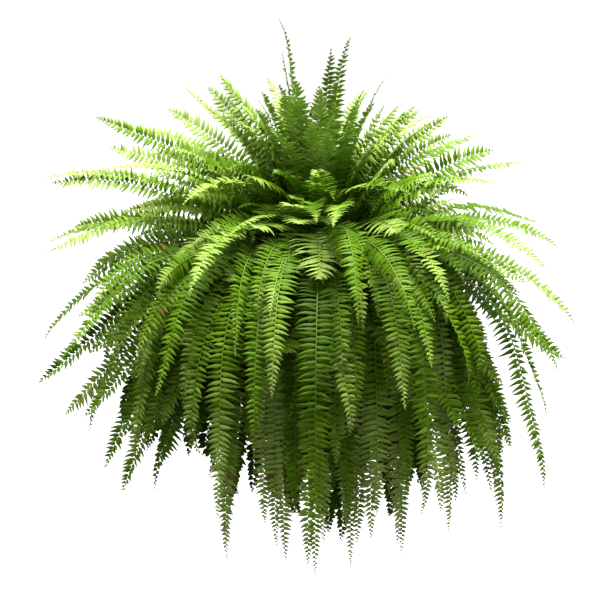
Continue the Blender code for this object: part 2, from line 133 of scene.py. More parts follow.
# Single fronds in front of the tiers, each by where its tip hangs: its azimuth, how far it
# reaches from the pot's axis, its height over the crown, how far it arches over, the blade's
# roll, and its width. Lengths are in millimetres here.
FACING = (
    (205, 210, 400, 36, -55, 86), (196, 220, 370, 40, -60, 84), (214, 200, 350, 44, -45, 86),
    (188, 290, 330, 50, -55, 80), (186, 430, 320, 46, -60, 78), (193, 410, 260, 50, -60, 80),
    (184, 520, 190, 48, -60, 80), (190, 320, 250, 100, -50, 70), (202, 390, 150, 60, -50, 84),
    (188, 470, 100, 54, -55, 80), (200, 440, 40, 62, -50, 84), (196, 470, 10, 68, -45, 84),
    (194, 470, -60, 68, -45, 86), (190, 550, -180, 66, -50, 84), (196, 500, -240, 70, -45, 86),
    (202, 470, -250, 76, -40, 88), (206, 440, -340, 84, -35, 88), (210, 420, -380, 90, -30, 88),
    (214, 370, -320, 90, -30, 88), (212, 300, 180, 70, -40, 86), (222, 270, 240, 66, -35, 88),
    (216, 330, 60, 80, -35, 86), (222, 360, -90, 80, -25, 92), (222, 380, -240, 90, -25, 90),
    (230, 340, 0, 96, -20, 88), (234, 300, 100, 90, -20, 80), (240, 270, 220, 70, -20, 88),
    (240, 350, -280, 100, -15, 92), (238, 310, -490, 116, -10, 84), (232, 220, 310, 54, -30, 86),
    (248, 200, 300, 50, -15, 84), (262, 160, 310, 44, 0, 80), (278, 180, 290, 48, 10, 82),
    (292, 200, 310, 50, 15, 84), (308, 220, 290, 54, 30, 84), (246, 270, -170, 100, -12, 88),
    (252, 320, -30, 78, -10, 98), (255, 270, 70, 74, -10, 98), (256, 240, 220, 70, -10, 88),
    (256, 350, -100, 70, -5, 120), (250, 320, -420, 112, -8, 84), (259, 300, -490, 118, 0, 84),
    (264, 300, 130, 68, -5, 96), (262, 330, -230, 100, 0, 90), (267, 310, -490, 120, 0, 90),
    (270, 220, 200, 72, 0, 86), (271, 370, 40, 92, 0, 130), (270, 370, -140, 84, 0, 104),
    (276, 340, -300, 104, 5, 100), (275, 300, -350, 114, 0, 88), (284, 280, 60, 74, 10, 94),
    (286, 240, 200, 72, 12, 86), (289, 350, -80, 78, 10, 100), (290, 340, -170, 92, 10, 92),
    (284, 310, -450, 116, 5, 84), (283, 300, -500, 120, 0, 80), (294, 320, -360, 104, 8, 88),
    (302, 320, -480, 116, 8, 80), (302, 260, 200, 74, 22, 88), (304, 350, 20, 76, 20, 96),
    (300, 370, -240, 94, 15, 90), (310, 390, -250, 92, 20, 90), (314, 360, -50, 82, 25, 88),
    (318, 280, 210, 66, 35, 88), (316, 380, -370, 100, 20, 84), (322, 420, -170, 82, 30, 88),
    (322, 410, -280, 92, 25, 88), (330, 330, 120, 68, 40, 86), (332, 400, -450, 96, 25, 80),
    (336, 370, -390, 94, 30, 86), (340, 350, -100, 72, 40, 86), (340, 370, -220, 76, 40, 86),
    (344, 370, -320, 82, 35, 86), (346, 340, 0, 64, 50, 84), (350, 480, -140, 64, 50, 80),
    (350, 330, 110, 56, 55, 84), (348, 340, 250, 48, 60, 82), (340, 280, 290, 46, 60, 82),
    (352, 250, 320, 42, 60, 80), (344, 200, 330, 40, 50, 80), (338, 160, 340, 34, 40, 78),
    (330, 100, 370, 24, 30, 70), (266, 80, 380, 24, 0, 70), (276, 100, 370, 26, 5, 72),
    (254, 120, 360, 30, -10, 76), (288, 120, 350, 30, 10, 74), (250, 300, 120, 74, -12, 100),
    (262, 320, 50, 76, -4, 104), (280, 320, 90, 74, 6, 100), (292, 330, 40, 78, 10, 102),
    (270, 350, -50, 78, 0, 108), (244, 340, 30, 78, -14, 100), (300, 320, 120, 74, 18, 98),
    (262, 280, 160, 58, -4, 98), (310, 360, 80, 60, 24, 96), (240, 160, 360, 30, -20, 90),
    (250, 130, 360, 28, -10, 86), (228, 180, 370, 34, -30, 90), (232, 210, 330, 44, -30, 92),
    (214, 240, 340, 42, -45, 90), (306, 180, 350, 36, 25, 88), (318, 200, 330, 42, 35, 90),
    (326, 220, 340, 42, 40, 88), (332, 250, 310, 46, 45, 86), (204, 360, -120, 66, -40, 92),
    (208, 380, -180, 72, -40, 92), (212, 360, -240, 80, -35, 92), (202, 400, -60, 62, -40, 90),
    (290, 330, -400, 110, 5, 98), (300, 340, -370, 106, 10, 98), (306, 360, -400, 106, 12, 96),
    (312, 380, -350, 100, 15, 94), (318, 360, -380, 102, 18, 94), (330, 390, -320, 88, 25, 92),
    (326, 400, -370, 96, 20, 92), (237, 300, -400, 112, -10, 100), (280, 320, -420, 114, 0, 96),
    (310, 360, -440, 110, 12, 94), (297, 330, -460, 114, 5, 92), (272, 300, -450, 116, 0, 92),
    (236, 300, -460, 114, -8, 94), (256, 300, -460, 114, -4, 94), (287, 330, -440, 112, 4, 98),
    (322, 430, -310, 88, 25, 96), (332, 410, -250, 80, 30, 94), (336, 400, -300, 84, 30, 92),
    (200, 380, -100, 62, -40, 100), (205, 400, -160, 66, -40, 98), (210, 390, -280, 76, -35, 96),
    (196, 450, -130, 62, -45, 94), (192, 60, 440, 14, 0, 62), (296, 30, 450, 12, 0, 66),
    (246, 100, 400, 22, -15, 86), (236, 130, 380, 28, -20, 86), (222, 190, 340, 40, -35, 90),
    (206, 300, 260, 56, -50, 90), (320, 400, -340, 94, 20, 96), (316, 420, -300, 90, 20, 94),
)
# Loose fronds that thicken the plant, ring by ring: how many, the share of them in the front
# half, base radius, turn, width and stipe, then the least and the most length, lean at the
# base and lean at the tip, the steps that each leaflet is modelled in, and how light its
# green is: the younger the lighter, while the curtain and the inner fronds that hang deep
# inside are darker, as painted shade.
SPRAYS = (
    ("fan", 20, 0.5, 0.034, 1.0, 0.082, 0.18, (0.32, 0.44), (2, 30), (24, 84), 4, 0.7),
    ("brow", 28, 0.7, 0.040, 1.0, 0.086, 0.14, (0.26, 0.46), (0, 24), (76, 140), 4, 0.1),
    ("shoulder", 20, 0.5, 0.052, 1.0, 0.084, 0.16, (0.34, 0.47), (20, 40), (72, 110), 4, 0.5),
    ("waist", 28, 0.66, 0.070, 1.0, 0.084, 0.14, (0.32, 0.46), (30, 54), (112, 154), 4, 0.2),
    ("hip", 26, 0.66, 0.086, 1.0, 0.086, 0.12, (0.40, 0.56), (40, 62), (136, 168), 4, 0.25),
    ("skirt", 32, 0.66, 0.100, 0.80, 0.086, 0.10, (0.46, 0.62), (54, 68), (154, 178), 4, 0.3),
    ("curtain", 46, 0.64, 0.100, 0.50, 0.098, 0.08, (0.44, 0.62), (58, 78), (168, 180), 3, -0.2),
    ("inner", 62, 0.62, 0.104, 0.34, 0.112, 0.08, (0.40, 0.60), (66, 88), (172, 180), 3, -0.5),
    ("young", 8, 0.5, 0.030, 1.0, 0.056, 0.34, (0.20, 0.34), (4, 26), (20, 70), 4, 0.8),
)
# How much younger than the rest the green of the topmost fronds is.
YOUNG_TOP = 0.5
# How fronds differ from one another: the least and the most of each setting. A laid-out
# frond keeps close to its row, and a loose one strays further.
ANY = (0.0, 1.0)
LAID_HABIT = dict(
    wobble=(1.0, 4.0), phase=ANY, hook=(-10.0, 35.0), lift=(-4.0, 26.0), curl=(0.15, 0.55), tone=ANY
)
LOOSE_HABIT = dict(
    sway=(-32.0, 32.0),
    wobble=(2.0, 8.0),
    phase=ANY,
    hook=(0.0, 60.0),
    luck=ANY,
    lift=(-10.0, 38.0),
    curl=(0.15, 0.75),
    tone=ANY,
)
LOOSE_WIDTH = (0.80, 1.06)
# The share of the loose fronds whose tip still curls over, and by how many degrees more.
CURLED_SHARE = 0.12
CURLED_HOOK = 90.0
# Where along a frond its tip starts to hook, and the share of the length that this leaves.
HOOK_FROM = 0.82
HOOK_SHARE = 0.18
WAVES = 1.2
FACE_ROLL = 40.0
ROLL_STRAY = 30.0
# How many degrees less the loose fronds droop that grow out to the sides.
SIDE_LIFT = 26.0
# The shallowest that a frond may leave the crown, to clear the pot's rim.
RIM_LEAN = 62.0
# How much shorter the loose fronds are that grow out to the right and to the left.
SIDE_TRIM = (0.33, 0.17)
# A facing frond that arches over further than this hangs, and tapers to a fine point.
HANGING_ARCH = 92.0
# The facing fronds that point forwards: how far from level, and how little rolled.
OUTWARD_HEIGHT = 0.16
OUTWARD_ROLL = 22.0
# Below this height over the crown a facing frond's tip is in the bottom fringe, whose green is
# painted paler as painted light.
FRINGE_HEIGHT = -0.4
FRONDS_A_PIECE = 12
LINE_STEPS = 32
STALK_SIDES = 6
STALK_STEPS = 20
LEAFLET_STEPS = 4
# What each point of a frond's mesh keeps until the frond is posed.
PLACES = ("row", "along", "over", "deep")
# How far leaflets stray from the pattern, in shares of a step, lengths or radians.
STRAY = dict(
    place=0.12, length=0.07, sweep=0.09, fold=0.16, twist=0.34, ahead=0.14, curl=0.25, droop=0.12
)
# How far the two rows stand apart along the rachis, and how they crowd at the tip.
STAGGER = 0.22
CROWDING = 1.12
# The share of leaflets that stay short, their length, and the shortest of all in metres.
STUNTED_SHARE = 0.02
STUNTED_LENGTH = 0.55
SHORTEST = 0.0018
# How much of its step a leaflet fills. The coarser ones deep inside leave no gaps.
FILL = {3: 1.3, 4: 0.80}
FULL_LENGTH = 0.028
# How far leaflets sweep towards the tip, in degrees: at the frond's base, and more at its tip.
SWEEP = (3.0, 36.0)
TWIST = 0.20
# The ear at a leaflet's base: how far it reaches and how much it widens the upper side.
EAR_REACH = 0.3
EAR_WIDTH = 1.35
SMOOTH_ANGLE = 60.0
RUNNER_STEPS = 60
RUNNER_RADIUS = 0.0009
RUNNER_WAVE = 0.003
RUNNER_RATE = 0.55
CROWN_SHOULDER = 0.004
# The rings that the flat tops are made of: how many, and how far apart.
CROWN_RINGS = (13, 0.008)
MIX_RINGS = (14, 0.009)
RHIZOMES = 110
SCALES = 420
MIX_FOOT_RADIUS = 0.0955
# Crumbs of peat and of perlite on the potting mix: how many, and how large.
PEAT_CRUMBS = (420, (0.0012, 0.0032))
PERLITE_CRUMBS = (60, (0.001, 0.0022))
FLOOR_RADIUS = 60.0
FLOOR_HEIGHT = -1.7
SOFTBOX_PLACE = (0.1, -0.25, 2.5)
SOFTBOX_AIM = (0.0, 0.0, -0.35)
SOFTBOX_SIZE = 1.6
SOFTBOX_WATTS = 250.0
CAMERA_TARGET = (-0.035, 0.0, -0.372)
CAMERA_HEIGHT_DEG = 6.0
CAMERA_DISTANCE = 4.5
CAMERA_LENS = 138.5
SEED = 5


def to_linear(colour):
    """An sRGB hex colour as linear red, green and blue."""
    parts = [int(colour[place : place + 2], 16) / 255.0 for place in (0, 2, 4)]
    return [part / 12.92 if part <= 0.04045 else ((part + 0.055) / 1.055) ** 2.4 for part in parts]


def paint(colour):
    """A hex colour or a linear triple as the four values that a socket takes."""
    return (*(to_linear(colour) if isinstance(colour, str) else colour), 1.0)


def around(azimuth, radius, z):
    """The point at an azimuth in degrees, a radius and a height."""
    angle = math.radians(azimuth)
    return Vector((radius * math.cos(angle), radius * math.sin(angle), z))


def add_piece(name, bm, materials):
    """Makes a bmesh a finished piece that rides on the one body."""
    mesh = bpy.data.meshes.new(name)
    bm.to_mesh(mesh)
    bm.free()
    for material in materials:
        mesh.materials.append(material)
    mesh.shade_smooth()
    mesh.set_sharp_from_angle(angle=math.radians(SMOOTH_ANGLE))
    piece = bpy.data.objects.new(name, mesh)
    bpy.context.scene.collection.objects.link(piece)
    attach(piece, "root")
    return piece


# Fronds.


def crown_top():
    """The height that the fronds grow from."""
    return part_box("fern_crown")[1].z + TOUCH_GAP


def frond_line(frond, steps):
    """Points along the frond's rachis, each with its heading and its sideways direction."""
    point = around(frond["azimuth"], frond["base"], crown_top())
    stations = []
    for step in range(steps + 1):
        share = step / steps
        bend = min(1.0, share / frond["turn"])
        bend = bend * bend * (3.0 - 2.0 * bend)
        hook = max(0.0, (share - HOOK_FROM) / HOOK_SHARE) ** 2
        wave = share * math.sin(math.tau * (WAVES * share + frond["phase"]))
        tilt = frond["lean"] + (frond["droop"] - frond["lean"]) * bend
        tilt = math.radians(tilt + frond["hook"] * hook + frond["wobble"] * wave)
        azimuth = math.radians(frond["azimuth"] + frond["sway"] * share)
        outward = Vector((math.cos(azimuth), math.sin(azimuth), 0.0))
        heading = outward * math.sin(tilt) + Vector((0.0, 0.0, math.cos(tilt)))
        side = Vector((-math.sin(azimuth), math.cos(azimuth), 0.0))
        rolled = math.radians(frond["roll"]) * min(1.0, share / frond.get("rolled", 1.0))
        side.rotate(Matrix.Rotation(rolled, 3, heading))
        if step:
            point = point + (heading + stations[-1][1]).normalized() * (frond["length"] / steps)
        stations.append((point, heading, side))
    return stations


def vary(chance, frond, habit):
    """Gives a frond the small differences that no two fronds share."""
    for name, limits in habit.items():
        frond[name] = chance.uniform(*limits)


def laid_out(start):
    """The laid-out fronds whose names start so, each with its own and its tier's settings."""
    chance = random.Random(SEED)
    plan = []
    for tier, shared, rows in TIERS:
        for index, (azimuth, length, lean, droop, roll) in enumerate(rows):
            frond = dict(shared, azimuth=azimuth, length=length, lean=lean, droop=droop, roll=roll)
            frond["name"] = f"{tier}_{index + 1:02d}"
            frond["sway"] = SWAY if index % 2 else -SWAY
            # Every row draws its chances, so that a frond is the same whichever are asked for.
            vary(chance, frond, LAID_HABIT)
            if tier == "frond_top":
                frond["tone"] += YOUNG_TOP
            plan.append(frond)
    return [frond for frond in plan if frond["name"].startswith(start)]


def settled(azimuth, reach, height, arch):
    """A frond that arches from the crown to where its tip hangs."""
    # The lower its tip, the further out on the crown it grows.
    spread = math.atan2(reach, height)
    base = 0.022 + 0.078 * min(1.0, spread / 2.2)
    aim = math.atan2(reach - base, height)
    lean = max(0.0, min(RIM_LEAN, math.degrees(aim) - arch * 0.5))
    # One that must clear the rim turns down early and then hangs nearly straight.
    share = 0.5 if lean < RIM_LEAN else 0.25
    droop = min(179.0, max(lean + 4.0, math.degrees(aim) + arch * share))
    choices = []
    for turn in np.linspace(0.3, 1.0, 15):
        shares = np.clip(np.linspace(0.0, 1.0, LINE_STEPS) / turn, 0.0, 1.0)
        tilt = np.radians(lean + (droop - lean) * shares**2 * (3.0 - 2.0 * shares))
        out, rise = np.sin(tilt).mean(), np.cos(tilt).mean()
        length = math.hypot(reach - base, height) / math.hypot(out, rise)
        choices.append((abs(math.atan2(out, rise) - aim), float(turn), length))
    _, turn, length = min(choices)
    return dict(azimuth=azimuth, base=base, lean=lean, droop=droop, turn=turn, length=length)


def painted_light_tone(azimuth, height):
    """How much lighter or darker a facing frond's green is painted, as painted light and shade, by
    where its tip hangs.
    """
    across = math.cos(math.radians(azimuth))
    # Painted light on the bottom fringe, on top and towards the sides, and painted shade in
    # between, most where the frond faces front or back.
    if height <= FRINGE_HEIGHT:
        return 0.7
    if height < 0.0:
        return 0.15 * abs(across) + 0.2 * max(0.0, across) - 0.5
    return 0.25 if height > 0.25 else 0.3 * abs(across) - 0.25


def loose(chance, frond):
    """Gives a loose frond its own width and habit, and a few of them a curled tip."""
    frond["width"] *= chance.uniform(*LOOSE_WIDTH)
    vary(chance, frond, LOOSE_HABIT)
    if frond["luck"] < CURLED_SHARE:
        frond["hook"] += CURLED_HOOK


def filler_plan(chance):
    """The fronds in front of the tiers and the loose ones between them, by group."""
    plans = {"facing": []}
    for azimuth, reach, height, arch, roll, width in FACING:
        reach, height, width = reach / 1000.0, height / 1000.0, width / 1000.0
        frond = settled(azimuth, reach, height, arch)
        hanging = arch > HANGING_ARCH
        frond.update(roll=roll, width=width, stipe=0.12, rolled=0.5)
        frond["taper"] = 0.55 if hanging else 0.2
        loose(chance, frond)
        frond["sway"] /= 2.5
        frond["hook"] /= 4.0 if hanging else 12.0
        # Painted light and shade: the frond's green is lightened or darkened by where its tip
        # hangs.
        frond["tone"] += painted_light_tone(azimuth, height)
        if abs(height) < OUTWARD_HEIGHT and abs(roll) < OUTWARD_ROLL:
            # Those that point outwards at the front are broad to their tips, and their green is
            # painted a little lighter, as painted light on fronds that reach out of the shade.
            frond.update(width=width, lift=chance.uniform(0.0, 14.0), curl=0.2, taper=0.05)
            frond["tone"] += 0.1
        plans["facing"].append(frond)
    for name, count, front, base, turn, width, stipe, lengths, leans, droops, steps, tone in SPRAYS:
        plans[name] = []
        for index in range(count):
            place = ((index + chance.uniform(-1.0, 1.0)) / count) % 1.0
            # The front half runs from 180 to 360 degrees.
            if place < front:
                azimuth = 180.0 + 180.0 * place / front
            else:
                azimuth = 180.0 * (place - front) / (1.0 - front)
            across = math.cos(math.radians(azimuth))
            frond = dict(
                azimuth=azimuth,
                base=base * chance.uniform(0.6, 1.08),
                turn=turn,
                width=width,
                stipe=stipe,
                steps=steps,
                length=chance.uniform(*lengths),
                lean=chance.uniform(*leans),
                droop=chance.uniform(*droops),
                roll=FACE_ROLL * across + chance.uniform(-ROLL_STRAY, ROLL_STRAY),
                rolled=0.6,
            )
            frond["droop"] -= SIDE_LIFT * across * across
            frond["length"] *= 1.0 - SIDE_TRIM[0 if across > 0.0 else 1] * across * across
            loose(chance, frond)
            # The spray's tone, with painted shade for the curtain and inner fronds deep inside,
            # drifts at random from frond to frond.
            frond["tone"] = tone + chance.uniform(-0.2, 0.3)
            plans[name].append(frond)
    return plans


def stalk_ring():
    """The corners of a stalk's section, at radius one."""
    angles = [math.tau * side / STALK_SIDES for side in range(STALK_SIDES)]
    return [(math.cos(angle), math.sin(angle)) for angle in angles]


def tube(rings):
    """A closed tube through rings of points."""
    bm = bmesh.new()
    face = bm.faces.new([bm.verts.new(co) for co in rings[0]])
    for ring in rings[1:]:
        face = bmesh.ops.extrude_discrete_faces(bm, faces=[face])["faces"][0]
        for vert, co in zip(face.verts, ring):
            vert.co = co
    bmesh.ops.holes_fill(bm, edges=bm.edges, sides=0)
    bmesh.ops.recalc_face_normals(bm, faces=bm.faces)
    return bm


def frond_template(pairs, steps):
    """A frond's mesh before it is posed: a tube for its stalk and rows of solid leaflets.

    Each point keeps where it belongs: its leaflet's number (-1 on the stalk), how far along
    and across, and how deep in the leaflet's thickness.
    """
    bm = bmesh.new()
    bm.loops.layers.uv.new("leaflet")
    row_layer, along_layer, over_layer, deep_layer = (
        bm.verts.layers.float.new(name) for name in PLACES
    )
    for row in range(2 * pairs):
        grid = bmesh.ops.create_grid(bm, x_segments=steps, y_segments=2, size=0.5, calc_uvs=True)
        for vert in grid["verts"]:
            vert[row_layer] = row
            vert[along_layer] = vert.co.x + 0.5
            vert[over_layer] = vert.co.y * 2.0
        if row % 2:
            faces = {face for vert in grid["verts"] for face in vert.link_faces}
            bmesh.ops.reverse_faces(bm, faces=list(faces))
    bmesh.ops.solidify(bm, geom=bm.faces[:], thickness=1.0)
    for vert in bm.verts:
        if abs(vert.co.z) > 0.5:
            vert[deep_layer] = 1.0
    for face in bm.faces:
        face.material_index = 1 if any(vert[deep_layer] for vert in face.verts) else 0
    steps_up = [step / STALK_STEPS for step in range(STALK_STEPS + 1)]
    stalk = tube([[(x, y, share) for x, y in stalk_ring()] for share in steps_up])
    stalk_layers = [stalk.verts.layers.float.new(name) for name in PLACES]
    for vert in stalk.verts:
        vert[stalk_layers[0]] = -1.0
        vert[stalk_layers[1]] = vert.co.z
        vert[stalk_layers[2]] = math.atan2(vert.co.y, vert.co.x)
    for face in stalk.faces:
        face.material_index = 2
    mesh = bpy.data.meshes.new("stalk")
    stalk.to_mesh(mesh)
    stalk.free()
    bm.from_mesh(mesh)
    bpy.data.meshes.remove(mesh)
    layers = [bm.verts.layers.float[name] for name in PLACES]
    parts = np.array([[vert[layer] for layer in layers] for vert in bm.verts]).T
    for name in PLACES:
        bm.verts.layers.float.remove(bm.verts.layers.float[name])
    for name in ("age", "tone", "dry"):
        bm.verts.layers.float.new(name)
    mesh = bpy.data.meshes.new(f"frond_of_{pairs}_pairs")
    bm.to_mesh(mesh)
    bm.free()
    return mesh, parts


def unit(vectors):
    """The vectors at length one."""
    return vectors / np.linalg.norm(vectors, axis=-1, keepdims=True)


def at_shares(stations, shares):
    """Place, heading, side and face direction at each share of a line's length."""
    steps = len(stations) - 1
    place = np.clip(shares * steps, 0.0, steps - 1e-6)
    index = place.astype(int)
    mix = (place - index)[:, None]
    parts = [np.array([station[key] for station in stations]) for key in range(3)]
    point, heading, side = (part[index] * (1.0 - mix) + part[index + 1] * mix for part in parts)
    heading = unit(heading)
    side = unit(side - heading * (heading * side).sum(axis=1, keepdims=True))
    return point, heading, side, np.cross(heading, side)


def half_width(frond, shares):
    """Half the frond's width at shares of its length: widest low down, and closed at the tip."""
    along = np.clip((shares - frond["stipe"]) / (1.0 - frond["stipe"]), 0.0, 1.0)
    rise = np.minimum(1.0, 0.3 + along / 0.22) ** 0.7
    fall = 1.0 - frond.get("taper", 0.6) * along**1.6
    fall = fall * np.maximum(0.0, 1.0 - along**7.0) ** 0.8
    return frond["width"] / 2 * rise * fall


def leaflet_outline(along):
    """Half the leaflet's width, as a share of its full half width, along its length."""
    # It widens over its first eighth and then narrows to a blunt point.
    body = np.clip((along - 0.12) / 0.88, 0.0, 1.0)
    body = np.maximum(0.05, (1.0 - body**1.8) ** 0.9)
    return np.where(along < 0.12, 0.4 + 5.0 * along, body)


def pose_frond(frond, templates, chance):
    """One whole frond's mesh: its stalk and its two rows of leaflets along its line."""
    settings = bpy.context.scene.fern_fronds
    leafy = frond["length"] * (1.0 - frond["stipe"])
    steps = frond.get("steps", LEAFLET_STEPS)
    # The coarser leaflets stand a little further apart.
    spacing = settings.spacing * (1.0 + 0.1 * (LEAFLET_STEPS - steps))
    pairs = 4 * max(2, round(leafy / spacing / 4))
    if (pairs, steps) not in templates:
        templates[pairs, steps] = frond_template(pairs, steps)
    template, (row, along, over, deep) = templates[pairs, steps]
    stations = frond_line(frond, LINE_STEPS)

    rows = np.arange(2 * pairs)
    sign = np.where(rows % 2, 1.0, -1.0)[:, None]
    crumple = frond.get("crumple", 1.0)

    def stray(name):
        reach = STRAY[name]
        return chance.uniform(-reach, reach, len(rows))[:, None] * crumple

    place = (rows // 2 + 0.5 + STAGGER * sign[:, 0] + stray("place")[:, 0]) / pairs
    place = 1.0 - (1.0 - np.clip(place, 0.0, 1.0)) ** CROWDING
    shares = frond["stipe"] + (1.0 - frond["stipe"]) * place * 0.995
    point, heading, side, up = at_shares(stations, shares)
    length = half_width(frond, shares)[:, None] * (1.0 + stray("length"))
    stunted = chance.random((len(rows), 1)) < STUNTED_SHARE
    length = np.maximum(np.where(stunted, length * STUNTED_LENGTH, length), SHORTEST)
    width = leafy / pairs * FILL[steps] * np.minimum(1.0, 0.3 + length / FULL_LENGTH)
    sweep = np.radians(SWEEP[0] + SWEEP[1] * place[:, None] ** 3) + stray("sweep")
    fold = math.radians(frond["lift"]) + stray("fold")
    out = side * sign * np.cos(sweep) + heading * np.sin(sweep)
    out = unit(out * np.cos(fold) + up * np.sin(fold))
    across = unit(heading - out * (heading * out).sum(axis=1, keepdims=True))
    twist = (stray("twist") - TWIST) * sign
    across = across * np.cos(twist) + np.cross(out, across) * np.sin(twist)
    normal = np.cross(out, across) * -sign
    down = np.array([0.0, 0.0, -1.0])
    bend = heading * (0.08 + stray("ahead")) - up * (frond["curl"] + stray("curl")) + down * 0.02
    tip = down * (0.02 + stray("droop")) - up * 0.06
    age = np.clip(shares + 0.5 * chance.normal(0.0, 0.09, len(rows)), 0.0, 1.0)
    dry = (chance.random(len(rows)) < frond.get("dry", 0.003)).astype(float)

    co = np.empty((len(row), 3))
    leaf = row >= 0
    which = row[leaf].astype(int)
    t = along[leaf][:, None]
    v = over[leaf][:, None]
    half = width[which] / 2 * leaflet_outline(t)
    half = np.where((v > 0) & (t < EAR_REACH), half * EAR_WIDTH, half)
    ruffle = np.sin(t * 9.0 + which[:, None] * 1.7) * v * 0.10
    rise = ruffle * half - v * v * half * 0.5 - deep[leaf][:, None] * settings.thickness
    spine = out[which] * t + bend[which] * (t * t / 2) + tip[which] * t**4
    co[leaf] = point[which] + spine * length[which]
    co[leaf] += across[which] * v * half
    co[leaf] += normal[which] * rise

    stalk = ~leaf
    middle, ahead, right, above = at_shares(stations, along[stalk])
    taper = settings.stalk * (1.0 - 0.78 * along[stalk])[:, None]
    angle = over[stalk][:, None]
    co[stalk] = middle + (right * np.cos(angle) + above * np.sin(angle)) * taper

    mesh = template.copy()
    mesh.vertices.foreach_set("co", co.ravel())
    values = {"age": along.copy(), "tone": np.full(len(row), frond["tone"])}
    values["dry"] = np.zeros(len(row))
    values["age"][leaf] = np.clip(age[which] + 0.12 * (t[:, 0] - 0.5), 0.0, 1.0)
    values["dry"][leaf] = dry[which]
    for name, value in values.items():
        mesh.attributes[name].data.foreach_set("value", value)
    return mesh


def add_fronds(name, fronds, materials, templates, chance):
    """One piece of one or more posed fronds."""
    bm = bmesh.new()
    for frond in fronds:
        mesh = pose_frond(frond, templates, chance)
        bm.from_mesh(mesh)
        bpy.data.meshes.remove(mesh)
    return add_piece(name, bm, materials)


def clear_templates(templates):
    """Removes the meshes that the fronds were posed from."""
    for mesh, _ in templates.values():
        bpy.data.meshes.remove(mesh)


# Finishes.


def add_node(material, kind, settings=None, **links):
    """Adds a shader node with its settings, its input values and its links."""
    node = material.node_tree.nodes.new(kind)
    for name, value in (settings or {}).items():
        setattr(node, name, value)
    for name, value in links.items():
        key = int(name[1:]) if name[0] == "i" and name[1:].isdigit() else name.replace("_", " ")
        socket = node.inputs[key]
        if isinstance(value, bpy.types.NodeSocket):
            material.node_tree.links.new(value, socket)
        else:
            socket.default_value = value
    return node


def new_material(name):
    """An empty node material with its output."""
    material = bpy.data.materials.new(name)
    material.use_nodes = True
    material.node_tree.nodes.clear()
    output = add_node(material, "ShaderNodeOutputMaterial")
    return material, output


def maths(material, operation, *values):
    """One maths node's result."""
    links = {f"i{place}": value for place, value in enumerate(values)}
    return add_node(material, "ShaderNodeMath", {"operation": operation}, **links).outputs[0]


def blend(material, factor, first, second):
    """Two colours blended by a factor; a colour may be a hex text."""
    links = {"i0": factor}
    for place, colour in ((6, first), (7, second)):
        links[f"i{place}"] = colour if isinstance(colour, bpy.types.NodeSocket) else paint(colour)
    return add_node(material, "ShaderNodeMix", {"data_type": "RGBA"}, **links).outputs[2]


def ramp(material, factor, stops):
    """A colour ramp with its stops as positions and hex colours."""
    node = add_node(material, "ShaderNodeValToRGB", Fac=factor)
    elements = node.color_ramp.elements
    while len(elements) < len(stops):
        elements.new(0.5)
    for element, (position, colour) in zip(elements, stops):
        element.position = position
        element.color = paint(colour)
    return node.outputs["Color"]


def speckle(material, scale, detail=3.0):
    """Noise over the piece, at a scale in bumps a metre."""
    place = add_node(material, "ShaderNodeTexCoord").outputs["Object"]
    node = add_node(material, "ShaderNodeTexNoise", Vector=place, Scale=scale, Detail=detail)
    return node.outputs["Fac"]


def skin_shader(material, colour, roughness, shine, **links):
    """The shader of an opaque skin, rough by a value or a socket."""
    links.update(Base_Color=colour, Roughness=roughness, IOR=1.45, Specular_IOR_Level=shine)
    return add_node(material, "ShaderNodeBsdfPrincipled", **links)


def surface(material, output, colour, roughness, height=None, depth=0.001, shine=0.5):
    """Finishes a material with its skin, bumped by a height."""
    links = {}
    if height is not None:
        bump = add_node(material, "ShaderNodeBump", Height=height, Distance=depth, Strength=1.0)
        links["Normal"] = bump.outputs[0]
    skin = skin_shader(material, colour, roughness, shine, **links)
    material.node_tree.links.new(skin.outputs[0], output.inputs["Surface"])
    return skin


def living_leaf(name, stops, pale, glow, clear, roughness, shine):
    """Living leaf tissue: a thin waxy skin that some light shines through.

    The green yellows towards young tips and darkens towards the frond's base, where its darkest
    stops are partly painted shade deep inside the plant. It drifts from frond to frond and along
    each, and each frond's tone also carries painted light and shade by where the frond hangs.
    The midrib is paler, and a few old leaflets are brown.
    """
    material, output = new_material(name)
    age, tone, dry = (
        add_node(material, "ShaderNodeAttribute", {"attribute_name": key}).outputs["Fac"]
        for key in ("age", "tone", "dry")
    )
    mottle = maths(material, "MULTIPLY_ADD", speckle(material, 16.0), 0.5, -0.25)
    age_and_painted_light = maths(material, "ADD", age, mottle)
    # Each frond's tone drifts at random and also carries its painted light and shade.
    age_and_painted_light = maths(material, "ADD", age_and_painted_light, maths(material, "MULTIPLY_ADD", tone, 0.44, -0.22))
    colour = ramp(material, age_and_painted_light, stops)
    uv = add_node(material, "ShaderNodeUVMap", {"uv_map": "leaflet"})
    across = add_node(material, "ShaderNodeSeparateXYZ", Vector=uv.outputs["UV"]).outputs["Y"]
    off = maths(material, "ABSOLUTE", maths(material, "SUBTRACT", across, 0.5))
    rib = add_node(
        material,
        "ShaderNodeMapRange",
        {"interpolation_type": "SMOOTHSTEP"},
        Value=off,
        From_Min=0.0,
        From_Max=0.08,
        To_Min=0.4,
        To_Max=0.0,
    ).outputs[0]
    colour = blend(material, rib, colour, glow)
    colour = blend(material, pale, colour, "A8B27C")
    colour = blend(material, dry, colour, "7C6A30")
    skin = skin_shader(material, colour, roughness, shine).outputs[0]
    lit = blend(material, 0.5, colour, glow)
    through = add_node(material, "ShaderNodeBsdfTranslucent", Color=lit).outputs[0]
    both = add_node(material, "ShaderNodeMixShader", i0=clear, i1=skin, i2=through)
    material.node_tree.links.new(both.outputs[0], output.inputs["Surface"])
    return material


